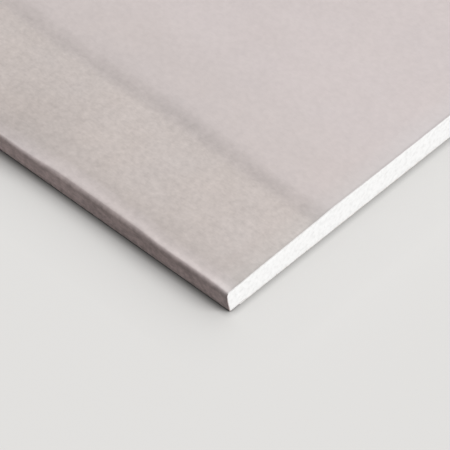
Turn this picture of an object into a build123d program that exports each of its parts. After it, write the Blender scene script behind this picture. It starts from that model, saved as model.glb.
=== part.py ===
from build123d import *
import math
import os

# A drywall sheet lying flat: a cast gypsum core wrapped in two sheets of paper.
# X runs along the sheet, Y across it and Z up, from its back to its face.
# The origin is at the middle of the back, and every size is in millimetres.

# Sheet, papers included
length = 2400.0
width = 1200.0
thickness = 12.5

# Face paper: over the face, round both long edges and folded onto the back
face_paper_thickness = 0.35
flap_width = 25.0  # from the foot of the long edge

# Back paper: over the core and the two flaps
back_paper_thickness = 0.30
back_paper_margin = 5.0  # from the foot of the long edge

# Tapered long edge: a short shoulder beside the flat of the face, then a long slope
taper_width = 56.0
shoulder_width = 6.0
shoulder_drop = 0.40
slope_drop = 1.05

# Side of the long edge: a short upright lip under the arris, then a side that leans in to its foot
lip_height = 1.5
lean = 2.1
arris_radius = 1.0
foot_radius = 0.5
shoulder_arc_share = 0.45  # of the shoulder's width, taken by the bend at each end of it

# Levels and distances from the centre line that follow from those sizes
half_width = width / 2
foot_y = half_width - lean
edge_level = thickness - shoulder_drop - slope_drop
flat_y = half_width - taper_width
shoulder_angle = math.atan2(shoulder_drop, shoulder_width)
shoulder_radius = shoulder_arc_share * shoulder_width / math.tan(shoulder_angle / 2)


# Outline of the sheet across its width, without the back paper
def wrapped_outline():
    foot = (foot_y, back_paper_thickness)
    lip = (half_width, edge_level - lip_height)
    arris = (half_width, edge_level)
    shoulder_foot = (flat_y + shoulder_width, thickness - shoulder_drop)
    shoulder_top = (flat_y, thickness)
    right = [foot, lip, arris, shoulder_foot, shoulder_top]
    left = [(-y, z) for y, z in reversed(right)]
    outline = make_face(Polyline(*right, *left, close=True))
    bends = [(foot, foot_radius), (arris, arris_radius)]
    bends += [(shoulder_foot, shoulder_radius), (shoulder_top, shoulder_radius)]
    for (y, z), radius in bends:
        corners = [v for v in outline.vertices() if math.isclose(abs(v.X), y) and math.isclose(v.Y, z)]
        outline = fillet(corners, radius)
    return outline


# Section of the core: inside the face paper, and flush with its flaps between them
def core_section(outline):
    inside_paper = offset(outline, amount=-face_paper_thickness, kind=Kind.INTERSECTION)
    between_flaps = Pos(0, back_paper_thickness) * Rectangle(
        2 * (foot_y - flap_width), 2 * face_paper_thickness, align=(Align.CENTER, Align.MIN)
    )
    return inside_paper + between_flaps


# Section of the face paper: what the core leaves of the wrapped outline
def face_paper_section(outline):
    return outline - core_section(outline)


# Section of the back paper: a flat strip under the core and the flaps
def back_paper_section():
    return Rectangle(
        2 * (foot_y - back_paper_margin), back_paper_thickness, align=(Align.CENTER, Align.MIN)
    )


# Run a section from one cut end of the sheet to the other
def run_along(section):
    return extrude(Plane.YZ * section, amount=length / 2, both=True)


outline = wrapped_outline()
pieces = {
    "gypsum_core": run_along(core_section(outline)),
    "face_paper": run_along(face_paper_section(outline)),
    "back_paper": run_along(back_paper_section()),
}

os.makedirs("parts", exist_ok=True)
for name, piece in pieces.items():
    export_step(piece, "parts/" + name + ".step")
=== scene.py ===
import bmesh
import bpy
import math
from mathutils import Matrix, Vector, noise


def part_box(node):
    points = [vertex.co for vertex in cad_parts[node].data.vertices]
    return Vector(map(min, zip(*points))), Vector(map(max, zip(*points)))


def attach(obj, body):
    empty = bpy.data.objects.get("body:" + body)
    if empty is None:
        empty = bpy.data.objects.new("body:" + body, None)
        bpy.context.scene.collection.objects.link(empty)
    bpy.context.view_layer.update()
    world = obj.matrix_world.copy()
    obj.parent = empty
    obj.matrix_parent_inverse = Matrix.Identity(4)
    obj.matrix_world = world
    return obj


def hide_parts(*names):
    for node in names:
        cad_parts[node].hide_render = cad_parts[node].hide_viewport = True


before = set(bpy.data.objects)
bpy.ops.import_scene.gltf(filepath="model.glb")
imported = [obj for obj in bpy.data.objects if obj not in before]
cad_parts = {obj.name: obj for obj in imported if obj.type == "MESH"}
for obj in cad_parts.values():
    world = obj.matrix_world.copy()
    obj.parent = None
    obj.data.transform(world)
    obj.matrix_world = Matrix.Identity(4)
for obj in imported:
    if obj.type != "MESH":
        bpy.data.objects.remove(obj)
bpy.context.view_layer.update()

coreLow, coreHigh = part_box("gypsum_core")
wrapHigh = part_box("face_paper")[1]
backLow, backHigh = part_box("back_paper")

halfLength = wrapHigh.x
halfWidth = wrapHigh.y
facePaperThickness = wrapHigh.z - coreHigh.z
backPaperThickness = backHigh.z
tiny = 0.000001  # closer together than this, two places are one

# the long edge's sizes in metres, as the part's source has them, all but the bend under the lip
longEdge = {
    "flapWidth": 0.025,  # face paper folded onto the back
    "lean": 0.0021,  # the foot stands in from the lip
    "lipHeight": 0.0015,
    "lipRadius": 0.003,  # eases the bend under the lip
    "taperWidth": 0.056,
    "shoulderWidth": 0.006,
    "shoulderDrop": 0.0004,
    "shoulderRadius": 0.0811,
    "slopeDrop": 0.00105,
    "arrisRadius": 0.0010,
    "footRadius": 0.0005,
}
footY = halfWidth - longEdge["lean"]
flapY = footY - longEdge["flapWidth"]
flatY = halfWidth - longEdge["taperWidth"]
edgeLevel = wrapHigh.z - longEdge["shoulderDrop"] - longEdge["slopeDrop"]

# how far the machine and handling left the long edges from straight
edgeWear = {
    "pressedIn": 0.0013,  # how far a fully pressed arris moves in
    "pressedDown": 0.0003,
    "reach": 0.014,  # how far in from the edge a press is felt
    "reachPower": 2,  # how fast it fades on the way in
    "sidePower": 3,  # how fast it fades down the side
    "waves": ((0.19, 0.5), (0.043, 0.2)),  # length of a wave, and its share of a full press
    "waveMiddle": 0.5,  # what a wave swings about
    "waveSeed": 1.7,
    "edgeSeed": 7.3,  # keeps the two long edges unlike
    "levelSeed": 0.37,  # keeps off the points where the noise is nought
    "presses": (  # side, distance from the +X end, half-length, share of a full press
        (-1, 0.016, 0.016, 0.66),
        (-1, 0.0665, 0.031, 1.15),
    ),
    "pressPower": 6,  # a press is even along its middle and ends fast
    "bandShift": 0.0014,  # how much further in the tones of the face lie at a full press
    "bandShiftAt": 0.0062,
    "bandShiftReach": 0.0034,
    "bandShiftPower": 2,  # it grows faster than the press
    "bandShiftLeast": 0.01,  # a smaller share of it is left out
    "hollowDepth": 0.00012,  # shallow trough beside the arris
    "hollowAt": 0.008,
    "hollowReach": 0.006,
    "shoulderShift": 0.0012,  # the shoulder wanders along the sheet
    "shoulderLength": 0.075,
    "shoulderSeed": 9.4,
}


# noise along a long edge, about zero
def waveAlong(x, side, length, seed):
    across = edgeWear["edgeSeed"] * side + seed
    return noise.noise(Vector((x / length, across, edgeWear["levelSeed"])))


# one at no distance, and falling to nothing either side
def bell(distance, reach, power=2):
    return math.exp(-(abs(distance / reach) ** power))


# a wave of minus one to one, raised to zero to one
def raised(wave):
    return (1 + wave) / 2


def clamp(value):
    return min(1.0, max(0.0, value))


# share of a full press at a place along one of the long edges
def pressAt(x, side):
    press = 0.0
    for length, share in edgeWear["waves"]:
        press += share * (edgeWear["waveMiddle"] + waveAlong(x, side, length, edgeWear["waveSeed"]))
    for pressSide, fromEnd, halfSpan, share in edgeWear["presses"]:
        if pressSide == side:
            press += share * bell(halfLength - fromEnd - x, halfSpan, edgeWear["pressPower"])
    return max(0.0, press)


# how far the tones of the face are drawn in, where a press has bent the paper
def bandShiftAt(co):
    share = bell(halfWidth - abs(co.y) - edgeWear["bandShiftAt"], edgeWear["bandShiftReach"])
    if co.z <= edgeLevel or share < edgeWear["bandShiftLeast"]:
        return 0.0
    press = pressAt(co.x, math.copysign(1, co.y))
    return edgeWear["bandShift"] * share * press ** edgeWear["bandShiftPower"]


# where a point of the straight sheet lies on the worn one
def wearEdge(co):
    side = math.copysign(1, co.y)
    inFrom = max(0.0, halfWidth - abs(co.y))
    high = max(0.0, co.z / edgeLevel) ** edgeWear["sidePower"]
    near = max(0.0, 1 - inFrom / edgeWear["reach"]) ** edgeWear["reachPower"] * min(1.0, high)
    press = pressAt(co.x, side) * near if near else 0.0
    hollow = edgeWear["hollowDepth"] * bell(inFrom - edgeWear["hollowAt"], edgeWear["hollowReach"])
    shoulderAt = longEdge["taperWidth"] - longEdge["shoulderWidth"] / 2
    wander = waveAlong(co.x, side, edgeWear["shoulderLength"], edgeWear["shoulderSeed"])
    shift = edgeWear["shoulderShift"] * wander * bell(inFrom - shoulderAt, longEdge["shoulderWidth"])
    inward = edgeWear["pressedIn"] * press + shift
    down = edgeWear["pressedDown"] * press + hollow * high
    return Vector((co.x, co.y - side * inward, co.z - down))


def makeMesh(bm, name, material):
    mesh = bpy.data.meshes.new(name)
    bm.to_mesh(mesh)
    bm.free()
    mesh.materials.append(material)
    return mesh


def placeInScene(name, data):
    placed = bpy.data.objects.new(name, data)
    bpy.context.scene.collection.objects.link(placed)
    return placed


creaseAngle = math.radians(38)  # an edge bent further than this, such as a cut one, stays crisp


def finishPiece(bm, name, material, nodeName):
    bmesh.ops.recalc_face_normals(bm, faces=bm.faces[:])
    for face in bm.faces:
        face.smooth = True
    for edge in bm.edges:
        if len(edge.link_faces) == 2:
            edge.smooth = edge.calc_face_angle() < creaseAngle
    mesh = makeMesh(bm, name, material)
    mesh.calc_loop_triangles()
    piece = placeInScene(name, mesh)
    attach(piece, "root")
    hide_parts(nodeName)
    print(name, "made,", len(mesh.loop_triangles), "triangles")


# a node of a material, with its sockets given by name or number and its settings by keyword
def addNode(tree, kind, sockets=None, **settings):
    item = tree.nodes.new(kind)
    for name, value in settings.items():
        setattr(item, name, value)
    for key, value in (sockets or {}).items():
        if isinstance(value, bpy.types.NodeSocket):
            tree.links.new(value, item.inputs[key])
        else:
            item.inputs[key].default_value = value
    return item


# the two inputs of a Math node share one name, so they go by number
def addMath(tree, operation, first, second=0.0):
    return addNode(tree, "ShaderNodeMath", {0: first, 1: second}, operation=operation).outputs["Value"]


def addSum(tree, total, *others):
    for other in others:
        total = addMath(tree, "ADD", total, other)
    return total


def addProduct(tree, product, *others):
    for other in others:
        product = addMath(tree, "MULTIPLY", product, other)
    return product


# a noise of zero to one, from its scale per metre, its detail and its roughness
def addNoise(tree, vector, kind):
    scale, detail, roughness = kind
    sockets = {"Vector": vector, "Scale": scale, "Detail": detail, "Roughness": roughness}
    return addNode(tree, "ShaderNodeTexNoise", sockets).outputs["Fac"]


# a noise brought to swing about zero, at most this far either way
def addSwing(tree, value, swing):
    return addProduct(tree, addMath(tree, "SUBTRACT", value, 0.5), 2 * swing)


# low at the start, high at the end, and level past both
def addStep(tree, value, start, end, low=0.0, high=1.0):
    sockets = {"Value": value, "From Min": start, "From Max": end, "To Min": low, "To Max": high}
    return addNode(tree, "ShaderNodeMapRange", sockets).outputs["Result"]


# one at zero, and falling to nothing over a reach
def addFall(tree, value, reach):
    return addStep(tree, value, reach, 0.0)


# one about a place, and falling to nothing either side of it
def addBand(tree, value, place, reach):
    off = addMath(tree, "DIVIDE", addMath(tree, "SUBTRACT", value, place), reach)
    return addMath(tree, "POWER", math.e, addProduct(tree, off, off, -1.0))


# where a value goes through several stops, each with its place and its color
def addRamp(tree, value, stops):
    low = stops[0][0]
    high = stops[-1][0]
    ramp = addNode(tree, "ShaderNodeValToRGB", {"Fac": addStep(tree, value, low, high)})
    ramp.color_ramp.interpolation = "EASE"
    elements = ramp.color_ramp.elements
    while len(elements) < len(stops):
        elements.new(1.0)  # at the end of the ramp, until it gets its own place
    for element, (place, color) in zip(elements, stops):
        element.position = (place - low) / (high - low)
        element.color = color
    return ramp.outputs["Color"], ramp.outputs["Alpha"]


def addAttribute(tree, name):
    return addNode(tree, "ShaderNodeAttribute", attribute_name=name).outputs["Fac"]


def addColor(tree, red, green, blue):
    sockets = {"Red": red, "Green": green, "Blue": blue}
    return addNode(tree, "ShaderNodeCombineColor", sockets).outputs["Color"]


def addGray(tree, value):
    return addColor(tree, value, value, value)


def opaque(color):
    return (*color, 1.0)


mixSockets = {"first": 6, "second": 7, "result": 2}  # a Mix node's own sockets for colors


# mixes two colors, each of them a socket or a color with its alpha
def addMix(tree, factor, first, second, blend="MIX"):
    sockets = {"Factor": factor, mixSockets["first"]: first, mixSockets["second"]: second}
    mix = addNode(tree, "ShaderNodeMix", sockets, data_type="RGBA", blend_type=blend)
    return mix.outputs[mixSockets["result"]]


def addTint(tree, color, tint):
    return addMix(tree, 1.0, color, tint, "MULTIPLY")


def newMaterial(name):
    material = bpy.data.materials.new(name)
    material.use_nodes = True
    shader = material.node_tree.nodes["Principled BSDF"]
    return material, material.node_tree, shader


def setShine(shader, look):
    shader.inputs["Roughness"].default_value = look["roughness"]
    shader.inputs["Specular IOR Level"].default_value = look["specular"]


# gives a paper or the plaster its color, its dullness and its relief
def finishMaterial(tree, shader, look, color, height):
    tree.links.new(color, shader.inputs["Base Color"])
    setShine(shader, look)
    relief = {"Height": height, "Strength": look["bump"], "Distance": look["bumpDepth"]}
    bump = addNode(tree, "ShaderNodeBump", relief)
    tree.links.new(bump.outputs["Normal"], shader.inputs["Normal"])


facePaperLook = {
    "color": (0.680, 0.611, 0.603),
    "roughness": 0.9,
    "specular": 0.25,
    "cloudNoise": (14.0, 3.0, 0.5),  # scale per metre, detail, roughness
    "cloud": 0.05,  # how far it swings the tone
    "blotchNoise": (95.0, 2.0, 0.5),
    "blotch": 0.05,
    "speckleNoise": (420.0, 2.0, 0.6),
    "speckle": 0.11,
    "fibreNoise": (1500.0, 3.0, 0.65),
    "fibreStretch": 0.35,  # fibres lie along the sheet
    "fibre": 0.07,
    "hueNoise": (42.0, 2.0, 0.5),
    "hue": 0.016,  # how far it swings between red and blue
    "bump": 0.35,
    "bumpDepth": 0.00006,
    "speckleHeight": 1.5,  # in the relief, for one of the fibres
}

# tones by the distance from the arris, in over the face or, below zero, down the side; beside the
# paper's own tones they hold painted shade and a painted highlight
edgeTones = {  # distance, tone, share of green and of blue, strength of the grain
    # down the side and over the arris the tones are painted shade, darkest at the arris and lighter
    # towards the foot to even out the light down the side; their smaller green and blue shares paint the
    # warm light bounced onto the side
    "foot": (-0.0092, 0.98, 0.925, 0.91, 4.6),
    "side": (-0.0070, 1.01, 0.925, 0.91, 4.6),
    "sideMiddle": (-0.0042, 0.87, 0.925, 0.91, 4.6),
    "sideTop": (-0.0016, 0.675, 0.93, 0.91, 4.0),
    "arris": (0.0000, 0.60, 0.95, 0.94, 2.0),
    # a painted highlight along the arris
    "paintedArrisHighlight": (0.0012, 0.817, 1.00, 0.99, 1.3),
    "besideArris": (0.0046, 0.785, 1.00, 0.98, 1.3),
    # painted shade in the shallow hollow beside the arris
    "hollow": (0.0078, 0.752, 1.00, 0.965, 1.4),
    "outOfHollow": (0.0125, 0.788, 1.00, 0.965, 1.5),
    "slope": (0.0200, 0.812, 1.00, 0.965, 1.5),
    "slopeTop": (0.0460, 0.832, 1.00, 0.965, 1.5),
    # painted shade along the foot of the shoulder
    "streak": (0.0508, 0.80, 1.00, 0.98, 1.2),
    "streakEnd": (0.0545, 0.825, 1.00, 0.985, 0.9),
    "flatStart": (0.0580, 0.86, 1.00, 0.99, 0.8),
    "flatRise": (0.0680, 0.88, 1.00, 0.99, 0.7),
    "flat": (0.1000, 0.917, 1.00, 1.00, 0.65),
}
edgeHeld = {"tone": 2.0, "grain": 5.0}  # the ramp holds them divided by these, to stay under one
edgeMarks = {
    "wanderNoise": (21.0, 2.0, 0.5),
    "wander": 0.0030,  # how far the bands stray from their line
    "wanderFrom": 0.004,  # from the arris, which keeps its line, to where they stray in full
    "hueGrain": 0.6,  # how much of its swing the hue has, for a grain of one
    "hueGrainMost": 1.5,  # a stronger grain swings the hue no further
    "patchNoise": (85.0, 3.0, 0.6),  # breaks up the streak and the painted highlight along the arris
    # the streak: painted shade along the foot of the shoulder
    "streakAt": 0.0520,
    "streakReach": 0.0042,
    "streakDark": 0.155,
    "streakFade": 0.26,  # it fades over this distance from the cut end
    "streakLeft": 0.45,  # down to this share of it
    "streakGaps": (0.15, 0.60),  # of the patches, where it breaks off and where it is whole
    "paintedHighlightAt": 0.0015,  # a painted highlight along the arris near a corner
    "paintedHighlightReach": 0.0016,
    "paintedHighlight": 0.242,
    "paintedHighlightGaps": (0.1, 0.6),
    "stretchAt": 0.115,  # from the cut end: a stretch lighter on its side and darker on its face
    "stretchReach": 0.021,
    "stretchSide": 0.28,
    "stretchFace": -0.08,
    "stretchArris": (-0.0014, 0.0016),  # where the side's tone turns into the face's
    "stretchEnds": (0.040, 0.018),  # in over the face, where it starts and where it is whole
    "dustReach": 0.110,  # plaster dust rubbed into the face beside a cut
    "dust": 0.045,
    "cutLine": 0.0013,  # painted shade: a dark line along the cut
    "cutDark": 0.17,
    "sideCutLine": 0.0030,  # wider and darker on the side
    "sideCutDark": 0.24,
    "sideCutFrom": -0.0020,  # from the arris down to where it is whole
    "greyReach": 0.010,  # dust that greys the face beside the cut
    "greyTint": (0.032, 0.038),  # what it adds to green and to blue
}
cutDust = {  # plaster dust that the saw left on the cut edge of the paper
    "color": (0.87, 0.87, 0.86),
    "share": 0.8,  # how much of the paper it covers
    "patchNoise": (700.0, 2.0, 0.5),
    "patchy": 0.5,
    "strip": (0.00045, 0.00015),  # from the cut, where a white strip ends and where it is whole
    "stripFrom": 0.001,  # from the arris in to where it is whole
    "stripEnds": (0.088, 0.060),  # from the arris, where it ends and where it is whole
}


def addPaperTone(tree, place, look):
    stretched = {"Vector": place, "Scale": (look["fibreStretch"], 1, 1)}
    along = addNode(tree, "ShaderNodeMapping", stretched).outputs["Vector"]
    cloud = addNoise(tree, place, look["cloudNoise"])
    blotch = addNoise(tree, place, look["blotchNoise"])
    speckle = addNoise(tree, place, look["speckleNoise"])
    fibre = addNoise(tree, along, look["fibreNoise"])
    broad = addSum(tree, addSwing(tree, cloud, look["cloud"]), 1.0)
    fine = addSum(
        tree,
        addSwing(tree, speckle, look["speckle"]),
        addSwing(tree, fibre, look["fibre"]),
        addSwing(tree, blotch, look["blotch"]),
    )
    height = addSum(tree, fibre, addProduct(tree, speckle, look["speckleHeight"]))
    return broad, fine, height


# the distance from the arris that the bands go by, which strays a little from the real one
def addStrayed(tree, place, fromArris):
    wander = addSwing(tree, addNoise(tree, place, edgeMarks["wanderNoise"]), edgeMarks["wander"])
    onFace = addStep(tree, fromArris, 0.0, edgeMarks["wanderFrom"])
    return addSum(tree, fromArris, addProduct(tree, wander, onFace))


def addEdgeBands(tree, strayed):
    stops = []
    for distance, tone, green, blue, grain in edgeTones.values():
        held = tone / edgeHeld["tone"]
        stops.append((distance, (held, held * green, held * blue, grain / edgeHeld["grain"])))
    bands, heldGrain = addRamp(tree, strayed, stops)
    return bands, addProduct(tree, heldGrain, edgeHeld["grain"])


# painted shade: a dark streak along the foot of the shoulder, broken here and there
def addStreak(tree, patch, fromCut, strayed):
    fade = addFall(tree, fromCut, edgeMarks["streakFade"])
    return addProduct(
        tree,
        addBand(tree, strayed, edgeMarks["streakAt"], edgeMarks["streakReach"]),
        addStep(tree, patch, *edgeMarks["streakGaps"]),
        addMath(tree, "MAXIMUM", fade, edgeMarks["streakLeft"]),
        edgeMarks["streakDark"],
    )


# a painted highlight along the arris near the cut ends, broken here and there
def addPaintedHighlight(tree, patch, fromCut, strayed):
    return addProduct(
        tree,
        addBand(tree, strayed, edgeMarks["paintedHighlightAt"], edgeMarks["paintedHighlightReach"]),
        addFall(tree, fromCut, edgeMarks["dustReach"]),
        addStep(tree, patch, *edgeMarks["paintedHighlightGaps"]),
        edgeMarks["paintedHighlight"],
    )


def addStretchTone(tree, fromCut, fromArris):
    tones = (edgeMarks["stretchSide"], edgeMarks["stretchFace"])
    return addProduct(
        tree,
        addStep(tree, fromArris, *edgeMarks["stretchArris"], *tones),
        addStep(tree, fromArris, *edgeMarks["stretchEnds"]),
        addBand(tree, fromCut, edgeMarks["stretchAt"], edgeMarks["stretchReach"]),
    )


# pale with dust beside the cut, and a painted shade right along it
def addCutTones(tree, fromCut, fromArris):
    dust = addProduct(tree, addFall(tree, fromCut, edgeMarks["dustReach"]), edgeMarks["dust"])
    dark = addProduct(tree, addFall(tree, fromCut, edgeMarks["cutLine"]), edgeMarks["cutDark"])
    onSide = addStep(tree, fromArris, 0.0, edgeMarks["sideCutFrom"])
    onSide = addProduct(tree, onSide, edgeMarks["sideCutDark"])
    sideDark = addProduct(tree, addFall(tree, fromCut, edgeMarks["sideCutLine"]), onSide)
    return addMath(tree, "SUBTRACT", dust, addSum(tree, dark, sideDark))


def addEdgeMarks(tree, place, fromCut, fromArris, strayed):
    patch = addNoise(tree, place, edgeMarks["patchNoise"])
    paintedHighlight = addPaintedHighlight(tree, patch, fromCut, strayed)
    streak = addStreak(tree, patch, fromCut, strayed)
    return addSum(
        tree,
        addMath(tree, "SUBTRACT", paintedHighlight, streak),
        addStretchTone(tree, fromCut, fromArris),
        addCutTones(tree, fromCut, fromArris),
    )


def addGreyDust(tree, fromCut, color):
    dusted = addFall(tree, fromCut, edgeMarks["greyReach"])
    green, blue = [addSum(tree, addProduct(tree, dusted, share), 1.0) for share in edgeMarks["greyTint"]]
    return addTint(tree, color, addColor(tree, 1.0, green, blue))


# whitens the edge of the tapered face, right beside the cut
def addWhiteStrip(tree, fromCut, fromArris):
    return addProduct(
        tree,
        addStep(tree, fromCut, *cutDust["strip"]),
        addStep(tree, fromArris, 0.0, cutDust["stripFrom"]),
        addStep(tree, fromArris, *cutDust["stripEnds"]),
    )


# dusts the faces that markCutEdges has marked, and a strip beside them
def addCutDust(tree, place, color, strip):
    patch = addSwing(tree, addNoise(tree, place, cutDust["patchNoise"]), cutDust["patchy"])
    cover = addProduct(tree, addSum(tree, patch, 1.0), cutDust["share"])
    marked = addMath(tree, "MAXIMUM", addAttribute(tree, "cutEdge"), strip)
    return addMix(tree, addProduct(tree, cover, marked), color, opaque(cutDust["color"]))


def makePaperMaterial(name, look, banded):
    material, tree, shader = newMaterial(name)
    place = addNode(tree, "ShaderNodeTexCoord").outputs["Object"]
    broad, fine, height = addPaperTone(tree, place, look)
    hueSwing = addSwing(tree, addNoise(tree, place, look["hueNoise"]), look["hue"])
    color = opaque(look["color"])
    if banded:
        alongSheet = addNode(tree, "ShaderNodeSeparateXYZ", {"Vector": place}).outputs["X"]
        fromCut = addMath(tree, "SUBTRACT", halfLength, addMath(tree, "ABSOLUTE", alongSheet))
        fromArris = addAttribute(tree, "fromArris")
        strayed = addStrayed(tree, place, fromArris)
        bands, grain = addEdgeBands(tree, strayed)
        marks = addEdgeMarks(tree, place, fromCut, fromArris, strayed)
        tone = addSum(tree, broad, addProduct(tree, fine, grain), marks)
        tone = addProduct(tree, tone, edgeHeld["tone"])  # makes up for what the ramp holds
        color = addGreyDust(tree, fromCut, addTint(tree, bands, color))
        strip = addWhiteStrip(tree, fromCut, fromArris)
        hueGrain = addMath(tree, "MINIMUM", grain, edgeMarks["hueGrainMost"])
        hueSwing = addProduct(tree, hueSwing, hueGrain, edgeMarks["hueGrain"])
    else:
        tone = addSum(tree, broad, fine)
        strip = 0.0
    red = addSum(tree, 1.0, hueSwing)
    blue = addMath(tree, "SUBTRACT", 1.0, hueSwing)
    color = addTint(tree, addColor(tree, red, 1.0, blue), color)
    color = addTint(tree, color, addGray(tree, tone))
    finishMaterial(tree, shader, look, addCutDust(tree, place, color, strip), height)
    return material


def atEnd(vert):
    return abs(abs(vert.co.x) - halfLength) < tiny


# the two edges along the sheet at a corner of its outline; an edge with one face is a cut end's
def foldsAt(bm, corner):
    def isThere(vert):
        return (Vector((abs(vert.co.y), vert.co.z)) - Vector(corner)).length < tiny
    return [e for e in bm.edges if len(e.link_faces) == 2 and all(isThere(v) for v in e.verts)]


def roundFold(bm, corner, radius, segments):
    folds = foldsAt(bm, corner)
    offset = radius * math.tan(folds[0].calc_face_angle() / 2)  # where a bend of that radius starts
    bmesh.ops.bevel(
        bm, geom=folds, offset=offset, offset_type="OFFSET", segments=segments, profile=0.5,
        affect="EDGES", material=-1,
    )


# grows edges along the sheet by a distance, and gives the new ones
def growAlong(bm, edges, distance):
    grown = bmesh.ops.extrude_edge_only(bm, edges=edges)["geom"]
    newVerts = [g for g in grown if isinstance(g, bmesh.types.BMVert)]
    bmesh.ops.translate(bm, vec=(distance, 0, 0), verts=newVerts)
    return [g for g in grown if isinstance(g, bmesh.types.BMEdge)]


# a sheet of paper from one cut end to the other, along an outline across its width
def drawPaper(outline):
    bm = bmesh.new()
    verts = [bm.verts.new((-halfLength, y, z)) for y, z in outline]
    runs = [bm.edges.new(pair) for pair in zip(verts, verts[1:])]
    growAlong(bm, runs, 2 * halfLength)
    bm.normal_update()
    return bm


# divides what runs across the sheet for less than a width, and for more than half of it
def divideAcross(bm, width, cuts):
    edges = [e for e in bm.edges if width / 2 < abs(e.verts[0].co.y - e.verts[1].co.y) < width]
    bmesh.ops.subdivide_edges(bm, edges=edges, cuts=cuts, use_grid_fill=True)


def divideAlong(bm, spacing):
    lengthwise = [e for e in bm.edges if abs(e.verts[0].co.x - e.verts[1].co.x) > halfLength]
    stations = round(2 * halfLength / spacing)
    bmesh.ops.subdivide_edges(bm, edges=lengthwise, cuts=stations - 1, use_grid_fill=True)


def divideCutEnds(bm, pitch):
    byCuts = {}
    for edge in bm.edges:
        if all(atEnd(v) for v in edge.verts):
            byCuts.setdefault(int(edge.calc_length() / pitch), []).append(edge)
    for cuts, edges in byCuts.items():
        if cuts:
            bmesh.ops.subdivide_edges(bm, edges=edges, cuts=cuts)


# gives the paper its thickness, on the side away from where it faces
def thicken(bm, thickness, facesUp):
    bm.normal_update()
    widest = max(bm.faces, key=lambda face: face.calc_area())
    if (widest.normal.z > 0) != facesUp:
        bmesh.ops.reverse_faces(bm, faces=bm.faces[:])
    bm.normal_update()
    bmesh.ops.solidify(bm, geom=bm.faces[:], thickness=thickness)


cutPaper = {
    "torn": 0.4,  # share of the full tear, about which it swings
    "tears": ((0.0016, 0.5, 0), (0.011, 0.6, 4)),  # length of a swing, its share, its seed
    "facing": 0.7,  # a face that looks more than this along the sheet is a cut edge
}


def tearEnds(bm, amount, seed):
    for vert in bm.verts:
        if atEnd(vert):
            x, y, z = vert.co
            share = cutPaper["torn"]
            for length, swing, swingSeed in cutPaper["tears"]:
                share += swing * noise.noise(Vector((y / length, z / length, x + seed + swingSeed)))
            vert.co.x = math.copysign(halfLength - amount * clamp(share), x)


# marks the paper's cut edges, all but those of the side of the long edge
def markCutEdges(bm):
    cutEdge = bm.loops.layers.float.new("cutEdge")
    bm.normal_update()
    for face in bm.faces:
        onSide = abs(face.calc_center_median().y) > footY - facePaperThickness
        if abs(face.normal.x) > cutPaper["facing"] and not onSide:
            for loop in face.loops:
                loop[cutEdge] = 1.0


facePaper = {
    "station": 0.006,  # spacing of the rings along the sheet
    "slopeCuts": 13,
    "flatCuts": 11,
    "arrisSegments": 8,
    "foldSegments": 5,
    "endPitch": 0.0007,  # spacing of the points along a cut end
    "ragged": 0.00010,  # how unevenly the cut end tears
    "raggedSeed": 0.5,
}


def makeFacePaper():
    foot = (footY, backPaperThickness)
    lip = (halfWidth, edgeLevel - longEdge["lipHeight"])
    arris = (halfWidth, edgeLevel)
    shoulderFoot = (flatY + longEdge["shoulderWidth"], wrapHigh.z - longEdge["shoulderDrop"])
    shoulderTop = (flatY, wrapHigh.z)
    corners = [(flapY, backPaperThickness), foot, lip, arris, shoulderFoot, shoulderTop]
    bm = drawPaper([(-y, z) for y, z in corners] + corners[::-1])
    folds = facePaper["foldSegments"]
    roundFold(bm, arris, longEdge["arrisRadius"], facePaper["arrisSegments"])
    roundFold(bm, foot, longEdge["footRadius"], folds)
    roundFold(bm, lip, longEdge["lipRadius"], folds)
    roundFold(bm, shoulderFoot, longEdge["shoulderRadius"], folds)
    roundFold(bm, shoulderTop, longEdge["shoulderRadius"], folds)
    divideAcross(bm, longEdge["taperWidth"], facePaper["slopeCuts"])
    divideAcross(bm, 2 * halfWidth, facePaper["flatCuts"])
    divideAlong(bm, facePaper["station"])
    divideCutEnds(bm, facePaper["endPitch"])
    thicken(bm, facePaperThickness, True)
    fromArris = bm.verts.layers.float.new("fromArris")
    for vert in bm.verts:
        down = max(0.0, edgeLevel - vert.co.z)
        vert[fromArris] = halfWidth - abs(vert.co.y) - down - bandShiftAt(vert.co)
        vert.co = wearEdge(vert.co)
    tearEnds(bm, facePaper["ragged"], facePaper["raggedSeed"])
    markCutEdges(bm)
    material = makePaperMaterial("facePaper", facePaperLook, True)
    finishPiece(bm, "facePaper", material, "face_paper")


backPaperLook = {
    **facePaperLook,
    "color": (0.448, 0.386, 0.330),
    "roughness": 0.95,
    "cloud": 0.06,
    "blotch": 0.08,
    "speckle": 0.12,
    "fibre": 0.13,
    "hue": 0.03,
    "bump": 0.5,
}
backPaper = {
    "station": 0.02,
    "endPitch": 0.0009,
    "ragged": 0.0001,
    "raggedSeed": 1.5,
    "edgeWave": 0.0005,  # how far its long edges wave in
    "edgeWaveLength": 0.06,
    "edgeWaveSeed": 3.1,
}


def makeBackPaper():
    bm = drawPaper([(backLow.y, backLow.z), (backHigh.y, backLow.z)])
    divideAlong(bm, backPaper["station"])
    for vert in bm.verts:
        side = math.copysign(1, vert.co.y)
        wave = waveAlong(vert.co.x, side, backPaper["edgeWaveLength"], backPaper["edgeWaveSeed"])
        vert.co.y -= side * backPaper["edgeWave"] * raised(wave)
    divideCutEnds(bm, backPaper["endPitch"])
    thicken(bm, backPaperThickness, False)
    tearEnds(bm, backPaper["ragged"], backPaper["raggedSeed"])
    markCutEdges(bm)
    material = makePaperMaterial("backPaper", backPaperLook, False)
    finishPiece(bm, "backPaper", material, "back_paper")


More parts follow.
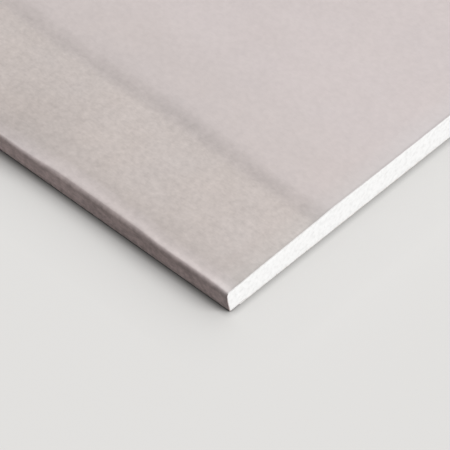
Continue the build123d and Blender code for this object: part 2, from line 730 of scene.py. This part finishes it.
gypsumLook = {
    "color": (0.893, 0.896, 0.890),
    "roughness": 0.95,
    "specular": 0.2,
    "cloudNoise": (90.0, 3.0, 0.5),  # scale per metre, detail, roughness
    "cloud": 0.012,
    "grainNoise": (520.0, 2.0, 0.5),
    "grainStep": (0.44, 0.74),  # of the noise, where a grain starts and where it is darkest
    "grain": 0.11,
    # pores are painted shade: darker in the colour, and dipped in the relief
    "poreNoise": (1500.0, 2.0, 0.6),
    "poreStep": (0.64, 0.78),
    "pore": 0.15,
    "bumpNoise": (500.0, 4.0, 0.65),
    "bump": 0.5,
    "bumpDepth": 0.00008,
}


def makeGypsumMaterial():
    look = gypsumLook
    material, tree, shader = newMaterial("gypsum")
    place = addNode(tree, "ShaderNodeTexCoord").outputs["Object"]
    cloud = addSwing(tree, addNoise(tree, place, look["cloudNoise"]), look["cloud"])
    inGrain = addStep(tree, addNoise(tree, place, look["grainNoise"]), *look["grainStep"])
    inPore = addStep(tree, addNoise(tree, place, look["poreNoise"]), *look["poreStep"])
    tone = addSum(tree, cloud, 1.0)
    tone = addMath(tree, "SUBTRACT", tone, addProduct(tree, inGrain, look["grain"]))
    # painted shade in the pores
    tone = addMath(tree, "SUBTRACT", tone, addProduct(tree, inPore, look["pore"]))
    color = addTint(tree, addGray(tree, tone), opaque(look["color"]))
    height = addMath(tree, "SUBTRACT", addNoise(tree, place, look["bumpNoise"]), inPore)
    finishMaterial(tree, shader, look, color, height)
    return material


gypsumCore = {
    "columns": 1600,
    "rows": 16,
    "roundDigits": 6,  # of a coordinate read from the CAD core
    "arrisSlack": 0.0001,  # how far into the bend of the arris the top's last point may lie
    "topReach": 0.002,  # how far below the level of the arris the top is looked for
    "footReach": 0.0004,  # how far above the core's back its foot is looked for
    "sideReach": 0.003,  # over which the rows turn to follow the side
    "sidePower": 2,
    "rim": 0.006,  # past this depth the core is hidden
    "stepIn": 0.002,  # over which it draws back from the paper
    "hiddenInset": 0.0027,
    "hiddenDrop": 0.0008,
    "endSeed": 3.0,  # keeps the two ends unlike
    "roughness": 0.00009,
    "roughLength": 0.0022,
    "roughFractal": (0.7, 2.1, 3),  # dimension, lacunarity, octaves
    "pitSpacing": 0.0034,
    "pitRadius": 0.0012,
    "pitDepth": 0.0002,
    "pitSeed": 3.7,
    "pitFrom": 0.62,  # places whose noise is above this have a pit
    "crumble": 0.00004,
    "crumbleReach": 0.0009,
    "crumbleLeast": 0.4,  # share of it where the plaster is smooth
}


# reads sorted pairs at a value of their first number, and gives their second
def readAt(pairs, value):
    for (low, atLow), (high, atHigh) in zip(pairs, pairs[1:]):
        if value <= high:
            share = (value - low) / max(high - low, tiny)
            return atLow + (atHigh - atLow) * max(0.0, share)
    return pairs[-1][1]


# the CAD core's section: its side as pairs of z and y, its top as pairs of y and z, and its foot
def coreOutline():
    digits = gypsumCore["roundDigits"]
    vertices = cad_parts["gypsum_core"].data.vertices
    quarter = [v.co for v in vertices if v.co.x > 0 and v.co.y > 0]
    points = {(round(co.y, digits), round(co.z, digits)) for co in quarter}
    arrisY = halfWidth - longEdge["arrisRadius"] + gypsumCore["arrisSlack"]
    topLevel = edgeLevel - gypsumCore["topReach"]
    footLevel = coreLow.z + gypsumCore["footReach"]
    arrisTop = max((y, z) for y, z in points if z > topLevel and y < arrisY)
    foot = max((y, z) for y, z in points if z < footLevel)
    side = sorted((z, y) for y, z in points if y >= foot[0] and foot[1] <= z <= arrisTop[1])
    top = sorted((y, z) for y, z in points if z >= arrisTop[1] and y <= arrisTop[0])
    return side, top, foot


# how deep the sawn plaster lies at a point of a cut end
def sawnDepth(co, top):
    look = gypsumCore
    spot = Vector((co.y, co.z, look["endSeed"] * math.copysign(1, co.x)))
    rough = max(0.0, raised(noise.fractal(spot / look["roughLength"], *look["roughFractal"])))
    distances, points = noise.voronoi(spot / look["pitSpacing"])
    pit = 0.0
    if noise.cell(points[0] * look["pitSeed"]) > look["pitFrom"]:
        pit = max(0.0, 1 - distances[0] * look["pitSpacing"] / look["pitRadius"])
    pit = pit ** 2 * (3 - 2 * pit)  # eased at its rim and at its bottom
    low = coreLow.z + (facePaperThickness if abs(co.y) > flapY else 0.0)
    edgeGap = min(co.z - low, readAt(top, abs(co.y)) - co.z, halfWidth - abs(co.y))
    crumb = max(0.0, 1 - edgeGap / look["crumbleReach"]) * (look["crumbleLeast"] + rough)
    return look["roughness"] * rough + look["pitDepth"] * pit + look["crumble"] * crumb


def makeCore():
    side, top, foot = coreOutline()
    sideLow = side[0][0]
    sideHigh = side[-1][0]
    bm = bmesh.new()
    bmesh.ops.create_grid(bm, x_segments=gypsumCore["columns"], y_segments=gypsumCore["rows"], size=1.0)
    for vert in bm.verts:
        share = raised(vert.co.y)
        sideZ = sideLow + (sideHigh - sideLow) * share
        sideY = readAt(side, sideZ)
        y = vert.co.x * sideY
        low = coreLow.z if abs(y) < flapY else foot[1]
        z = low + (readAt(top, abs(y)) - low) * share
        turned = clamp(1 - (sideY - abs(y)) / gypsumCore["sideReach"]) ** gypsumCore["sidePower"]
        vert.co = (halfLength, y, z + (sideZ - z) * turned)
    ring = [e for e in bm.edges if e.is_boundary]
    rimEnd = halfLength - gypsumCore["rim"]
    for depth in (gypsumCore["rim"], gypsumCore["stepIn"], rimEnd - gypsumCore["stepIn"]):
        ring = growAlong(bm, ring, -depth)
    bmesh.ops.mirror(bm, geom=bm.verts[:] + bm.edges[:] + bm.faces[:], merge_dist=tiny, axis="X")
    for vert in bm.verts:
        if abs(vert.co.x) > rimEnd - gypsumCore["stepIn"] / 2:
            vert.co = wearEdge(vert.co)
        else:
            share = max(0.0, 1 - (halfWidth - abs(vert.co.y)) / edgeWear["reach"])
            vert.co.y -= math.copysign(gypsumCore["hiddenInset"] * share, vert.co.y)
            vert.co.z -= gypsumCore["hiddenDrop"] * share * vert.co.z / edgeLevel
    for vert in bm.verts:
        if atEnd(vert):
            vert.co.x = math.copysign(halfLength - sawnDepth(vert.co, top), vert.co.x)
    finishPiece(bm, "gypsumCore", makeGypsumMaterial(), "gypsum_core")


makeCore()
makeFacePaper()
makeBackPaper()

stage = {
    "reach": 40.0,
    "shown": (0.76, 0.75, 0.735),  # what the camera and reflections see
    "bounce": (0.26, 0.24, 0.235),  # what lights the underside of the edges
    "roughness": 1.0,
    "specular": 0.0,
    "contacts": ((0.030, 0.60), (0.0035, 0.83)),  # reach of a contact shade, how much it takes away
    "contactSamples": 16,
}


# one where the camera or a reflection shows the background, and nought where it gives light
def addSeen(tree):
    path = addNode(tree, "ShaderNodeLightPath").outputs
    seen = addMath(tree, "MAXIMUM", path["Is Camera Ray"], path["Is Glossy Ray"])
    return addMath(tree, "MAXIMUM", seen, path["Is Transmission Ray"])


def makeFloor():
    material, tree, shader = newMaterial("floor")
    color = addMix(tree, addSeen(tree), opaque(stage["bounce"]), opaque(stage["shown"]))
    samples = stage["contactSamples"]
    for reach, share in stage["contacts"]:
        shade = addNode(tree, "ShaderNodeAmbientOcclusion", {"Distance": reach}, samples=samples)
        kept = addSum(tree, addProduct(tree, shade.outputs["AO"], share), 1.0 - share)
        color = addTint(tree, color, addGray(tree, kept))
    tree.links.new(color, shader.inputs["Base Color"])
    setShine(shader, stage)
    bm = bmesh.new()
    bmesh.ops.create_grid(bm, x_segments=1, y_segments=1, size=stage["reach"])
    floor = placeInScene("floor", makeMesh(bm, "floor", material))
    print("floor made")


makeFloor()

lamps = {
    "towards": (0.76, 0.12, 0.7),  # from the sheet towards the key light
    "topLight": 0.76,  # share of full light that the key gives the face
    "softness": math.radians(45),
    "ambient": 0.24,
    "ambientColor": (1.0, 1.0, 1.0),
}


def makeKeyLight():
    towards = Vector(lamps["towards"]).normalized()
    key = bpy.data.lights.new("key", "SUN")
    key.energy = math.pi * lamps["topLight"] / towards.z
    key.angle = lamps["softness"]
    lamp = placeInScene("key", key)
    lamp.rotation_euler = towards.to_track_quat("Z", "Y").to_euler()
    print("key light set")


# the world lights the sheet at the ambient level, and what the camera and reflections see is white
def makeWorld():
    world = bpy.data.worlds.new("studio")
    bpy.context.scene.world = world
    world.use_nodes = True
    tree = world.node_tree
    background = tree.nodes["Background"]
    strength = addSum(tree, addProduct(tree, addSeen(tree), 1.0 - lamps["ambient"]), lamps["ambient"])
    background.inputs["Color"].default_value = opaque(lamps["ambientColor"])
    tree.links.new(strength, background.inputs["Strength"])
    print("world set")


makeKeyLight()
makeWorld()

shot = {
    "azimuth": 43.305,
    "elevation": 47.442,
    "lens": 400.0,  # the photograph's view is that of a long lens
    "sensor": 36.0,
    "distance": 1.84326,
    "cornerRight": 0.000388,  # the near corner from the middle of the view
    "cornerUp": -0.033242,
}


def makeCamera():
    azimuth = math.radians(shot["azimuth"])
    elevation = math.radians(shot["elevation"])
    level = math.cos(elevation)
    forward = Vector((-math.sin(azimuth) * level, math.cos(azimuth) * level, -math.sin(elevation)))
    right = Vector((math.cos(azimuth), math.sin(azimuth), 0))
    up = right.cross(forward)
    nearCorner = Vector((halfLength, -halfWidth, 0))
    data = bpy.data.cameras.new("camera")
    data.lens = shot["lens"]
    data.sensor_width = shot["sensor"]
    camera = placeInScene("camera", data)
    camera.location = nearCorner - shot["cornerRight"] * right - shot["cornerUp"] * up
    camera.location -= shot["distance"] * forward
    camera.rotation_mode = "QUATERNION"
    camera.rotation_quaternion = (-forward).to_track_quat("Z", "Y")
    bpy.context.scene.camera = camera
    print("camera set")


makeCamera()

bpy.context.scene.view_settings.view_transform = "Standard"
